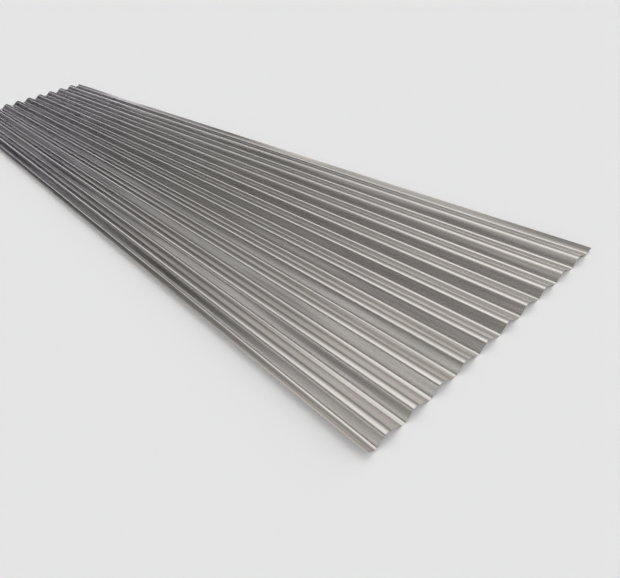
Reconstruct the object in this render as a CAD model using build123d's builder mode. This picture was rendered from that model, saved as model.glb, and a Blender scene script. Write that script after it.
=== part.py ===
# Corrugated roofing sheet, rolled from one strip of coated steel.
# It lies flat: X runs along the ribs, Y across them, Z up.
# The origin is under the middle trough, at mid length.
import os

from build123d import *

# Stock
sheet_length = 3658.0
sheet_thickness = 0.4

# Corrugation, measured on the underside of the sheet
rib_pitch = 76.2
rib_depth = 18.0
crest_width = 11.0
trough_width = 11.0
trough_count = 11

# Bends, as radii on the underside
crest_bend_radius = 14.0
trough_bend_radius = 12.0

# The long edges stop part way up the slope beside the outer troughs
edge_rise = 10.0

slope_run = (rib_pitch - crest_width - trough_width) / 2
edge_run = slope_run * edge_rise / rib_depth


def corner_points():
    """Corners of the underside, from the left long edge to the right one."""
    first_trough = -rib_pitch * (trough_count - 1) / 2
    left_foot = first_trough - trough_width / 2
    right_foot = -left_foot
    points = [(left_foot - edge_run, edge_rise)]
    for index in range(trough_count):
        trough = first_trough + index * rib_pitch
        points.append((trough - trough_width / 2, 0))
        points.append((trough + trough_width / 2, 0))
        if index < trough_count - 1:
            crest = trough + rib_pitch / 2
            points.append((crest - crest_width / 2, rib_depth))
            points.append((crest + crest_width / 2, rib_depth))
    points.append((right_foot + edge_run, edge_rise))
    return points


def corner_radii(points):
    """One bend for each inner corner, by whether it lies in a trough or on a crest."""
    return [trough_bend_radius if height == 0 else crest_bend_radius for _, height in points[1:-1]]


os.makedirs("parts", exist_ok=True)

with BuildPart() as roofing_sheet:
    with BuildSketch(Plane.YZ.offset(-sheet_length / 2)):
        with BuildLine():
            corners = corner_points()
            underside = FilletPolyline(*corners, radius=corner_radii(corners))
            offset(underside, amount=sheet_thickness, side=Side.LEFT)
        make_face()
    extrude(amount=sheet_length)

roofing_sheet.part.label = "roofing_sheet"
export_step(roofing_sheet.part, "parts/roofing_sheet.step")
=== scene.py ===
import math

import bpy
import numpy as np
from mathutils import Matrix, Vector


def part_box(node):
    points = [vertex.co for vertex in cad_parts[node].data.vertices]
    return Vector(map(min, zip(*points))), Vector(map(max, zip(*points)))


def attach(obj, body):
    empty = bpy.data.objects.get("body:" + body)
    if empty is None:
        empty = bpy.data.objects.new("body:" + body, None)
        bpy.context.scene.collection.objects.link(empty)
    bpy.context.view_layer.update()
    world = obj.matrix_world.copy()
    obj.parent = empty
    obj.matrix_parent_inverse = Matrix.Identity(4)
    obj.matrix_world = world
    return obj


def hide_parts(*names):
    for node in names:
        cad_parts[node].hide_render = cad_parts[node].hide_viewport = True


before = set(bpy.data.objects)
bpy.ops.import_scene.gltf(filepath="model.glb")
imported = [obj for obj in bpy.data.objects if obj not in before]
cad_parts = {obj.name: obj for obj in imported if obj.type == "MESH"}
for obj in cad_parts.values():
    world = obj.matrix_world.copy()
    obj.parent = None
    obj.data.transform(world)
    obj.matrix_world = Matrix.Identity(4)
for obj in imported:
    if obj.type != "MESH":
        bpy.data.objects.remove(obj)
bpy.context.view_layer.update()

mm = 0.001
print("frame loaded:", sorted(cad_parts))


# small helpers for node trees

def addNode(tree, kind, **settings):
    node = tree.nodes.new(kind)
    for name, value in settings.items():
        setattr(node, name, value)
    return node


def wire(tree, source, target):
    tree.links.new(source, target)


def mathNode(tree, operation, first, second=None):
    # first and second are sockets or plain numbers
    node = addNode(tree, "ShaderNodeMath", operation=operation)
    for index, value in enumerate((first, second)):
        if value is None:
            continue
        if isinstance(value, (int, float)):
            node.inputs[index].default_value = value
        else:
            wire(tree, value, node.inputs[index])
    return node.outputs[0]


def ramp(tree, value, fromLow, fromHigh, toLow, toHigh, soft=True):
    # the value is carried from one span to the other, eased at both ends or straight, and held beyond
    node = addNode(tree, "ShaderNodeMapRange", interpolation_type="SMOOTHSTEP" if soft else "LINEAR")
    wire(tree, value, node.inputs["Value"])
    limits = {"From Min": fromLow, "From Max": fromHigh, "To Min": toLow, "To Max": toHigh}
    for name, number in limits.items():
        node.inputs[name].default_value = number
    return node.outputs["Result"]


def newGroup(name, inputs, outputs):
    # inputs and outputs are (name, socket kind, default) rows
    tree = bpy.data.node_groups.new(name, "ShaderNodeTree")
    for inOut, rows in (("INPUT", inputs), ("OUTPUT", outputs)):
        for label, kind, default in rows:
            socket = tree.interface.new_socket(label, in_out=inOut, socket_type=kind)
            if default is not None:
                socket.default_value = default
    return tree, addNode(tree, "NodeGroupInput"), addNode(tree, "NodeGroupOutput")


def placeGroup(tree, group, vector):
    node = addNode(tree, "ShaderNodeGroup", node_tree=group)
    wire(tree, vector, node.inputs["Place"])
    return node


# the sheet's shape

sheet = {
    "node": "roofing_sheet",
    "slot": "coated_steel",
    "thickness": 0.4 * mm,
    "pitch": 76.2 * mm,
    "depth": 18.0 * mm,
    "crestWidth": 11.0 * mm,
    "troughWidth": 11.0 * mm,
    "crestBend": 17.5 * mm,  # a little rounder than the solid's
    "troughBend": 12.0 * mm,
    "edgeRise": 10.0 * mm,
    "troughs": 11,
    # mesh steps in a bend, a flat and a flank, and along the sheet
    "bendSteps": 6,
    "flatSteps": 2,
    "flankSteps": 5,
    "alongSteps": 120,
    "sharpAngle": 50,  # degrees
    # how far each rib's rising flank sags, from the left rib on, less than zero where it bulges
    "flankSag": np.array([0.05, 0.32, 0.24, -0.12, 0.02, 0.02, -0.12, -0.12, -0.15, -0.2]) * mm,
    # push at the top of each rising flank, and the parts of t, t squared and t cubed in its climb
    # up a flank that bulges
    "shoulder": 1.0 * mm,
    "bulgeClimb": (1.25, 0.5, -0.75),
    # lift of the corners, (along, across) signs and height, from these shares of the half sizes outwards
    "cornerLift": ((1, -1, 4 * mm), (-1, -1, 2 * mm), (1, 1, 1 * mm), (-1, 1, 1.5 * mm)),
    "liftStartAlong": 0.375,
    "liftStartAcross": 0.75,
    # the left long edge springs up by this much over this width
    "edgeSpring": 6 * mm,
    "springWidth": 38 * mm,
    # slow waves along the ribs
    "waveLengths": np.array([1900, 830, 410]) * mm,
    "waveHeights": np.array([0.22, 0.12, 0.03]) * mm,
    "seed": 12,
}


def sectionRuns(spec):
    # lengths of the straight runs and the bends between them, from the corner sizes
    run = (spec["pitch"] - spec["crestWidth"] - spec["troughWidth"]) / 2
    slope = math.atan2(spec["depth"], run)
    slopeLength = math.hypot(run, spec["depth"])
    crestCut = spec["crestBend"] * math.tan(slope / 2)
    troughCut = spec["troughBend"] * math.tan(slope / 2)
    return {
        "slope": slope,
        "edge": slopeLength * spec["edgeRise"] / spec["depth"] - troughCut,
        "flank": slopeLength - crestCut - troughCut,
        "crestFlat": spec["crestWidth"] - 2 * crestCut,
        "troughFlat": spec["troughWidth"] - 2 * troughCut,
        "crestArc": spec["crestBend"] * slope,
        "troughArc": spec["troughBend"] * slope,
    }


def sectionWalk(spec):
    # The section is walked by its turning: each small step has a length and a turn. The heading is the
    # running sum of the turns, and the place is the running sum of the chords along their mid headings.
    # A straight run is a step with no turn, a bend of radius r turns by length / r.
    runs = sectionRuns(spec)
    slope, bend, flat = runs["slope"], spec["bendSteps"], spec["flatSteps"]
    up = (runs["troughArc"], slope, bend)
    over = (runs["crestArc"], -slope, bend)
    trough = [up, (runs["troughFlat"], 0, flat), up]
    flank = (runs["flank"], 0, spec["flankSteps"])
    rib = [flank, over, (runs["crestFlat"], 0, flat), over, flank]
    edge = [(runs["edge"], 0, flat)]
    lengths, turns, steps = np.array(edge + (trough + rib) * (spec["troughs"] - 1) + trough + edge).T
    steps = steps.astype(int)
    lengths = np.repeat(lengths / steps, steps)
    turns = np.repeat(turns / steps, steps)

    heading = np.concatenate([[0], np.cumsum(turns)]) - slope
    chord = lengths * np.sinc(turns / (2 * math.pi))
    middle = heading[:-1] + turns / 2
    across = np.concatenate([[0], np.cumsum(chord * np.cos(middle))])
    height = np.concatenate([[0], np.cumsum(chord * np.sin(middle))])
    developed = np.concatenate([[0], np.cumsum(lengths)])
    return across - across[-1] / 2, height - height.min(), heading, developed


def flankForm(developed, spec):
    # A push along the normal. With t the way up a rising flank, from 0 to 1, the flank goes in by its sag
    # times 4 t (1 - t) and out by the shoulder times t, or times the climb where it bulges. Past the
    # flank the shoulder dies out as 1 - s s (3 - 2 s), s being the way over the first bend and the crest.
    runs = sectionRuns(spec)
    halfRib = runs["flank"] + runs["crestArc"] + runs["troughArc"]
    pitch = 2 * halfRib + runs["crestFlat"] + runs["troughFlat"]
    fromFoot = developed - (runs["edge"] + 2 * runs["troughArc"] + runs["troughFlat"])
    last = len(spec["flankSag"]) - 1
    rib = np.clip(np.floor(fromFoot / pitch), 0, last).astype(int)
    upFlank = fromFoot - rib * pitch
    way = np.clip(upFlank / runs["flank"], 0, 1)
    over = np.clip((upFlank - runs["flank"]) / (runs["crestArc"] + runs["crestFlat"]), 0, 1)
    sag = spec["flankSag"][rib]
    first, second, third = spec["bulgeClimb"]
    climb = np.where(sag > 0, way, way * (first + second * way + third * way ** 2))
    shoulder = spec["shoulder"] * climb * (1 - over * over * (3 - 2 * over))
    return shoulder - sag * 4 * way * (1 - way)


def wayPast(share, start):
    # 0 as far as the start, then evenly up to 1
    return np.clip((share - start) / (1 - start), 0, 1)


def cornerLift(along, across, spec):
    # a corner's height times the squares of the ways out to it, along and across
    total = np.zeros((len(along), len(across)))
    for alongSign, acrossSign, lift in spec["cornerLift"]:
        wayAlong = wayPast(alongSign * along / along.max(), spec["liftStartAlong"])
        wayAcross = wayPast(acrossSign * across / across.max(), spec["liftStartAcross"])
        total += lift * np.outer(wayAlong ** 2, wayAcross ** 2)
    return total


def edgeSpring(across, spec):
    # the left edge rises as the square of the way out to it, over the spring width
    way = np.clip((across.min() + spec["springWidth"] - across) / spec["springWidth"], 0, 1)
    return spec["edgeSpring"] * way ** 2


def rollingWander(along, across, spec):
    # Slow sine waves of a few lengths added up, with phases that differ from rib to rib. Their sum is a
    # small push along the surface's normal, as light sheet has between the rolls.
    rng = np.random.default_rng(spec["seed"])
    ribs = np.round(across / (spec["pitch"] / 2)).astype(int)
    ribs = ribs - ribs.min()
    waves = spec["waveLengths"]
    phases = rng.uniform(0, 2 * math.pi, (ribs.max() + 1, len(waves)))
    turn = 2 * math.pi * along[:, None, None] / waves + phases[ribs][None, :, :]
    return (spec["waveHeights"] * np.sin(turn)).sum(-1)


def sheetMesh(spec):
    # Two grids of the walk by the length, the upper one pushed out by the thickness along the normal,
    # closed round their four edges by a rim one face wide.
    low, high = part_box(spec["node"])
    across, height, heading, developed = sectionWalk(spec)
    along = np.linspace(low.x, high.x, spec["alongSteps"] + 1)
    push = rollingWander(along, across, spec) + flankForm(developed, spec)
    rise = cornerLift(along, across, spec) + edgeSpring(across, spec)
    normalY, normalZ = -np.sin(heading), np.cos(heading)

    grids = []
    for lift in (0, spec["thickness"]):
        x = np.broadcast_to(along[:, None], push.shape)
        y = across + (push + lift) * normalY
        z = np.maximum(height + push * normalZ, 0) + rise + lift * normalZ
        grids.append(np.stack([x, y, z], -1))
    points = np.stack(grids)

    rows, columns = push.shape
    under, upper = np.arange(2 * rows * columns).reshape(2, rows, columns)

    def quads(grid):
        return np.stack([grid[:-1, :-1], grid[1:, :-1], grid[1:, 1:], grid[:-1, 1:]], -1).reshape(-1, 4)

    def rim(first, second):
        return np.stack([first[:-1], first[1:], second[1:], second[:-1]], -1)

    skin = np.concatenate([quads(upper), quads(under)[:, ::-1]])
    edges = np.concatenate([
        rim(upper[:, 0], under[:, 0])[:, ::-1],
        rim(upper[:, -1], under[:, -1]),
        rim(upper[0], under[0]),
        rim(upper[-1], under[-1])[:, ::-1],
    ])

    # each point's place on the flat strip, and 0 or 1 for the underside or the upper side
    sides = np.array([0.0, 1.0])[:, None, None]
    strip = np.stack(np.broadcast_arrays(along[None, :, None], developed[None, None, :], sides), -1)
    return points.reshape(-1, 3), skin, edges, strip.reshape(-1, 3)


def addSheet(spec, faceMaterial, edgeMaterial):
    points, skin, edges, strip = sheetMesh(spec)
    mesh = bpy.data.meshes.new("formedSheet")
    mesh.from_pydata(points, [], np.concatenate([skin, edges]))
    mesh.materials.append(faceMaterial)
    mesh.materials.append(edgeMaterial)
    slots = np.repeat([0, 1], [len(skin), len(edges)]).astype(np.int32)
    mesh.polygons.foreach_set("material_index", slots)
    mesh.polygons.foreach_set("use_smooth", slots == 0)
    place = mesh.attributes.new("stripPlace", "FLOAT_VECTOR", "POINT")
    place.data.foreach_set("vector", strip.astype(np.float32).ravel())
    corners = np.empty(len(mesh.loops), np.int32)
    mesh.loops.foreach_get("vertex_index", corners)
    stripMap = mesh.uv_layers.new(name="stripMap")
    stripMap.data.foreach_set("uv", strip[corners, :2].astype(np.float32).ravel())
    mesh.set_sharp_from_angle(angle=math.radians(spec["sharpAngle"]))
    mesh.update()
    piece = bpy.data.objects.new("formedSheet", mesh)
    bpy.context.scene.collection.objects.link(piece)
    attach(piece, "root")
    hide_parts(spec["node"])
    print("sheet:", len(points), "points,", 2 * (len(skin) + len(edges)), "triangles")


# finishes

rollLineLook = {
    # sizes of the streaks along and across the strip, and the detail of their noise
    "streaks": {
        "Wide": {"along": 900 * mm, "across": 9 * mm, "detail": 3},
        "Fine": {"along": 260 * mm, "across": 1.1 * mm, "detail": 2},
    },
    "sideStep": 3,  # sets the streaks of the two sides apart
}


def rollLineGroup(look):
    # long thin streaks left by the rolls: noise squeezed across the strip and stretched along it
    tree, start, end = newGroup(
        "rollLines",
        [("Place", "NodeSocketVector", None)],
        [(label, "NodeSocketFloat", None) for label in look["streaks"]],
    )
    for label, streak in look["streaks"].items():
        mapping = addNode(tree, "ShaderNodeMapping")
        mapping.inputs["Scale"].default_value = (1 / streak["along"], 1 / streak["across"], look["sideStep"])
        noise = addNode(tree, "ShaderNodeTexNoise")
        noise.inputs["Scale"].default_value = 1
        noise.inputs["Detail"].default_value = streak["detail"]
        wire(tree, start.outputs["Place"], mapping.inputs["Vector"])
        wire(tree, mapping.outputs["Vector"], noise.inputs["Vector"])
        wire(tree, noise.outputs["Fac"], end.inputs[label])
    return tree


coatingLook = {
    "crystal": 2.2 * mm,
    "cloud": 160 * mm,
    "cloudSqueeze": (0.35, 1, 1),  # under 1 draws the clouds out along the strip
    "cloudDetail": 4,
}


def coatingGroup(look):
    # the coating's small crystals, and the slow clouding of its gloss
    tree, start, end = newGroup(
        "coatingGrain",
        [("Place", "NodeSocketVector", None), ("Crystal", "NodeSocketFloat", look["crystal"]),
         ("Cloud", "NodeSocketFloat", look["cloud"])],
        [("Crystals", "NodeSocketFloat", None), ("Clouds", "NodeSocketFloat", None)],
    )
    crystals = addNode(tree, "ShaderNodeTexVoronoi", feature="F1")
    wire(tree, start.outputs["Place"], crystals.inputs["Vector"])
    wire(tree, mathNode(tree, "DIVIDE", 1.0, start.outputs["Crystal"]), crystals.inputs["Scale"])
    shade = addNode(tree, "ShaderNodeSeparateColor")
    wire(tree, crystals.outputs["Color"], shade.inputs["Color"])
    wire(tree, shade.outputs[0], end.inputs["Crystals"])
    squeeze = addNode(tree, "ShaderNodeMapping")
    squeeze.inputs["Scale"].default_value = look["cloudSqueeze"]
    wire(tree, start.outputs["Place"], squeeze.inputs["Vector"])
    clouds = addNode(tree, "ShaderNodeTexNoise")
    clouds.inputs["Detail"].default_value = look["cloudDetail"]
    wire(tree, squeeze.outputs["Vector"], clouds.inputs["Vector"])
    wire(tree, mathNode(tree, "DIVIDE", 1.0, start.outputs["Cloud"]), clouds.inputs["Scale"])
    wire(tree, clouds.outputs["Fac"], end.inputs["Clouds"])
    return tree


# what both finishes share: how much each effect counts, and the spans of the sums that are used
steelMix = {
    "colourStreaks": 0.45,
    "colourClouds": 0.40,
    "colourCrystals": 0.1,
    "colourSpan": (0.32, 0.68),
    "roughStreaks": 0.5,
    "roughClouds": 0.5,
    "roughSpan": (0.3, 0.7),
    "filmRoughness": 0.12,
    "grooveTurn": 0.25,  # a quarter turn
    "bumpDepth": 0.2 * mm,
}

coatedFaceLook = {
    "pale": (0.54, 0.506, 0.474, 1),
    "dull": (0.428, 0.412, 0.384, 1),
    "gloss": 0.24,
    "matt": 0.31,
    "grooved": 0.2,
    "bump": 0.03,
    "film": 0.9,
}

shearedEdgeLook = {
    "pale": (0.62, 0.61, 0.60, 1),
    "dull": (0.34, 0.32, 0.30, 1),
    "gloss": 0.35,
    "matt": 0.55,
    "grooved": 0.3,
    "bump": 0.15,
    "film": 0.0,
}


def steelMaterial(name, look, mix, rollLines, coating):
    material = bpy.data.materials.new(name)
    material.use_nodes = True
    tree = material.node_tree
    shader = tree.nodes["Principled BSDF"]
    shader.inputs["Metallic"].default_value = 1
    shader.inputs["Anisotropic"].default_value = look["grooved"]
    shader.inputs["Anisotropic Rotation"].default_value = mix["grooveTurn"]
    shader.inputs["Coat Weight"].default_value = look["film"]
    shader.inputs["Coat Roughness"].default_value = mix["filmRoughness"]
    grooves = addNode(tree, "ShaderNodeTangent", direction_type="UV_MAP", uv_map="stripMap")
    wire(tree, grooves.outputs["Tangent"], shader.inputs["Tangent"])
    place = addNode(tree, "ShaderNodeAttribute", attribute_name="stripPlace")
    lines = placeGroup(tree, rollLines, place.outputs["Vector"])
    grain = placeGroup(tree, coating, place.outputs["Vector"])

    # colour: clouds and wide streaks between the pale and the dull grey, crystals on top
    wide = mathNode(tree, "MULTIPLY", lines.outputs["Wide"], mix["colourStreaks"])
    clouds = mathNode(tree, "MULTIPLY", grain.outputs["Clouds"], mix["colourClouds"])
    crystals = mathNode(tree, "MULTIPLY", grain.outputs["Crystals"], mix["colourCrystals"])
    blend = mathNode(tree, "ADD", mathNode(tree, "ADD", wide, clouds), crystals)
    colour = addNode(tree, "ShaderNodeMix", data_type="RGBA")
    colour.inputs["A"].default_value = look["pale"]
    colour.inputs["B"].default_value = look["dull"]
    wire(tree, ramp(tree, blend, *mix["colourSpan"], 0, 1), colour.inputs["Factor"])
    wire(tree, colour.outputs["Result"], shader.inputs["Base Color"])

    # roughness: fine streaks and clouds between the gloss and the matt
    fine = mathNode(tree, "MULTIPLY", lines.outputs["Fine"], mix["roughStreaks"])
    hazy = mathNode(tree, "MULTIPLY", grain.outputs["Clouds"], mix["roughClouds"])
    rough = mathNode(tree, "ADD", fine, hazy)
    wire(tree, ramp(tree, rough, *mix["roughSpan"], look["gloss"], look["matt"]), shader.inputs["Roughness"])

    bump = addNode(tree, "ShaderNodeBump")
    bump.inputs["Strength"].default_value = look["bump"]
    bump.inputs["Distance"].default_value = mix["bumpDepth"]
    wire(tree, lines.outputs["Fine"], bump.inputs["Height"])
    wire(tree, bump.outputs["Normal"], shader.inputs["Normal"])
    print("material:", name)
    return material


rollLines = rollLineGroup(rollLineLook)
coating = coatingGroup(coatingLook)
coatedFace = steelMaterial("coatedFace", coatedFaceLook, steelMix, rollLines, coating)
shearedEdge = steelMaterial("shearedEdge", shearedEdgeLook, steelMix, rollLines, coating)
addSheet(sheet, coatedFace, shearedEdge)


# floor

floor = {
    "radius": 60.0,
    "drop": 0.5 * mm,
    "grey": (0.938, 0.938, 0.938, 1),
    "rings": 24,
    "spokes": 64,
}


def addFloor(spec):
    # a flat disc: rings whose radius grows as the square of their number, by even turns
    radius = spec["radius"] * (np.arange(1, spec["rings"] + 1) / spec["rings"]) ** 2
    turn = np.linspace(0, 2 * math.pi, spec["spokes"], endpoint=False)
    ringX = radius[:, None] * np.cos(turn)
    ringY = radius[:, None] * np.sin(turn)
    points = np.stack([ringX, ringY, np.full_like(ringX, -spec["drop"])], -1).reshape(-1, 3)
    points = np.concatenate([points, [[0, 0, -spec["drop"]]]])
    index = np.arange(spec["rings"] * spec["spokes"]).reshape(spec["rings"], spec["spokes"])
    after = np.roll(index, -1, 1)
    quads = np.stack([index[:-1], index[1:], after[1:], after[:-1]], -1).reshape(-1, 4)
    middle = np.stack([index[0], after[0], np.full(spec["spokes"], len(points) - 1)], -1)
    mesh = bpy.data.meshes.new("paleFloor")
    mesh.from_pydata(points, [], quads.tolist() + middle.tolist())
    material = bpy.data.materials.new("paleFloor")
    material.use_nodes = True
    shader = material.node_tree.nodes["Principled BSDF"]
    shader.inputs["Base Color"].default_value = spec["grey"]
    shader.inputs["Roughness"].default_value = 1
    shader.inputs["Specular IOR Level"].default_value = 0
    mesh.materials.append(material)
    disc = bpy.data.objects.new("paleFloor", mesh)
    bpy.context.scene.collection.objects.link(disc)


addFloor(floor)
print("floor laid")


# soft studio light: a grey room with two long strips of light overhead, along the ribs

room = {
    # Angles are round the X axis, in degrees from straight up towards +Y.
    # The other spans are of the x, y or z of a direction, where x is -1 straight at the far end.
    # A strip is full and gone that many degrees off its line. A lean under 1 widens it towards +Y, and
    # leanLow towards -Y. Its end values hold at the far end.
    "strips": (
        {"angle": 11, "endAngle": -1, "endWidth": 0.36, "full": 9, "none": 22,
         "lean": 0.66, "leanLow": 0.81, "strength": 1.3, "end": 1.3, "endSpan": (-1.0, -0.8)},
        {"angle": -37, "endAngle": -37.5, "endWidth": 1, "full": 1, "none": 5,
         "lean": 1, "leanLow": 1, "strength": 1.75, "end": 0.05, "endSpan": (-1.0, -0.75)},
    ),
    "stripTurnSpan": (-0.95, -0.5),
    "stripSide": 0.15,
    "stripSideSpan": (-0.28, 0.1),
    # all the walls, and their level at the far end
    "wall": 0.14,
    "wallEnd": 0.01,
    "wallSpan": (-1.0, -0.4),
    # what the wall on the +Y side adds, with a glow low down and a darker band along it
    "farWall": 0.36,
    "farWallSpan": (-0.3, 0.7),
    "farEndSpan": (-1.0, -0.5),
    "farSideSpan": (-0.35, 0.2),
    "glow": 0.3,
    "glowSpan": (0.2, 0.8),
    "glowHeight": (0.05, 0.6),
    "darkBand": {"angle": 66, "full": 4, "none": 18, "level": 0.35},
    # the fill past the near end and its share overhead
    "fill": 1.35,
    "fillSpan": (-0.38, 0),
    "fillHigh": 0.22,
    "fillHeight": (0.35, 0.85),
    "backdrop": (0.787, 0.787, 0.787, 1),
    "nearTint": (1.0, 1.0, 1.0, 1),
    "endTint": (0.96, 0.95, 1.09, 1),
    "tintSpan": (-1.0, -0.82),
}


def wallLevel(tree, x, y, z, angle, spec):
    # all the walls, dimmer towards the far end, plus the +Y side's own part and the fill past the near end
    wall = ramp(tree, x, *spec["wallSpan"], spec["wallEnd"], spec["wall"], soft=False)

    far = ramp(tree, y, *spec["farWallSpan"], 0, spec["farWall"])
    glow = mathNode(tree, "MULTIPLY", ramp(tree, z, *spec["glowHeight"], spec["glow"], 0),
                    ramp(tree, y, *spec["glowSpan"], 0, 1))
    far = mathNode(tree, "ADD", far, glow)
    far = mathNode(tree, "MULTIPLY", far, ramp(tree, x, *spec["farEndSpan"], 0, 1, soft=False))
    band = spec["darkBand"]
    off = mathNode(tree, "ABSOLUTE", mathNode(tree, "SUBTRACT", angle, band["angle"]))
    far = mathNode(tree, "MULTIPLY", far, ramp(tree, off, band["full"], band["none"], band["level"], 1))
    far = mathNode(tree, "MULTIPLY", far, ramp(tree, x, *spec["farSideSpan"], 1, 0))

    fill = mathNode(tree, "MULTIPLY", ramp(tree, x, *spec["fillSpan"], 0, spec["fill"]),
                    ramp(tree, z, *spec["fillHeight"], 1, spec["fillHigh"]))
    return mathNode(tree, "ADD", mathNode(tree, "ADD", wall, far), fill)


def stripLevel(tree, x, angle, strip, spec):
    # full near the strip's middle line, then fading, with its own lean to each side of the line
    centre = ramp(tree, x, *spec["stripTurnSpan"], strip["endAngle"], strip["angle"], soft=False)
    width = ramp(tree, x, *spec["stripTurnSpan"], strip["endWidth"], 1, soft=False)
    off = mathNode(tree, "SUBTRACT", angle, centre)
    off = mathNode(tree, "MAXIMUM", mathNode(tree, "MULTIPLY", off, strip["lean"]),
                   mathNode(tree, "MULTIPLY", off, -strip["leanLow"]))
    off = mathNode(tree, "DIVIDE", off, width)
    shine = ramp(tree, off, strip["full"], strip["none"], strip["strength"], 0)
    atEnd = ramp(tree, x, *strip["endSpan"], strip["end"], 1, soft=False)
    shine = mathNode(tree, "MULTIPLY", shine, atEnd)
    return mathNode(tree, "MULTIPLY", shine, ramp(tree, x, *spec["stripSideSpan"], 1, spec["stripSide"]))


def lightRoom(spec):
    world = bpy.data.worlds.new("studioRoom")
    world.use_nodes = True
    bpy.context.scene.world = world
    tree = world.node_tree
    background = tree.nodes["Background"]
    parts = addNode(tree, "ShaderNodeSeparateXYZ")
    wire(tree, addNode(tree, "ShaderNodeTexCoord").outputs["Generated"], parts.inputs["Vector"])
    x, y, z = parts.outputs
    angle = mathNode(tree, "DEGREES", mathNode(tree, "ARCTAN2", y, z))

    level = wallLevel(tree, x, y, z, angle, spec)
    for strip in spec["strips"]:
        level = mathNode(tree, "ADD", level, stripLevel(tree, x, angle, strip, spec))
    tint = addNode(tree, "ShaderNodeMix", data_type="RGBA")
    tint.inputs["A"].default_value = spec["endTint"]
    tint.inputs["B"].default_value = spec["nearTint"]
    wire(tree, ramp(tree, x, *spec["tintSpan"], 0, 1), tint.inputs["Factor"])
    wire(tree, tint.outputs["Result"], background.inputs["Color"])
    wire(tree, level, background.inputs["Strength"])

    # the camera alone sees a plain pale backdrop, and the steel mirrors the room
    backdrop = addNode(tree, "ShaderNodeBackground")
    backdrop.inputs["Color"].default_value = spec["backdrop"]
    seen = addNode(tree, "ShaderNodeMixShader")
    wire(tree, addNode(tree, "ShaderNodeLightPath").outputs["Is Camera Ray"], seen.inputs["Fac"])
    wire(tree, background.outputs["Background"], seen.inputs[1])
    wire(tree, backdrop.outputs["Background"], seen.inputs[2])
    wire(tree, seen.outputs["Shader"], tree.nodes["World Output"].inputs["Surface"])


lightRoom(room)
bpy.context.scene.view_settings.view_transform = "Standard"
print("room lit")


# camera, from the lines of the ribs in a 620 by 578 picture

view = {
    "place": (2.1851, -0.7145, 0.7323),
    "yaw": 144.62,
    "down": 37.77,
    "roll": -9.59,
    "focalPixels": 480.2,
    "pictureWidth": 620,
    "shift": (0.0008, 0.0129),
    "reach": 200,
}


def addCamera(spec):
    yaw, down, roll = (math.radians(spec[name]) for name in ("yaw", "down", "roll"))
    forward = np.array([math.cos(yaw) * math.cos(down), math.sin(yaw) * math.cos(down), -math.sin(down)])
    level = np.cross(forward, [0, 0, 1])
    level /= np.linalg.norm(level)
    rise = np.cross(level, forward)
    right = math.cos(roll) * level + math.sin(roll) * rise
    up = -math.sin(roll) * level + math.cos(roll) * rise
    data = bpy.data.cameras.new("photoView")
    data.sensor_fit = "HORIZONTAL"
    data.lens = data.sensor_width * spec["focalPixels"] / spec["pictureWidth"]
    data.shift_x, data.shift_y = spec["shift"]
    data.clip_end = spec["reach"]
    camera = bpy.data.objects.new("photoView", data)
    turned = Matrix(np.stack([right, up, -forward], 1).tolist()).to_4x4()
    camera.matrix_world = Matrix.Translation(spec["place"]) @ turned
    bpy.context.scene.collection.objects.link(camera)
    bpy.context.scene.camera = camera


addCamera(view)
print("camera set")
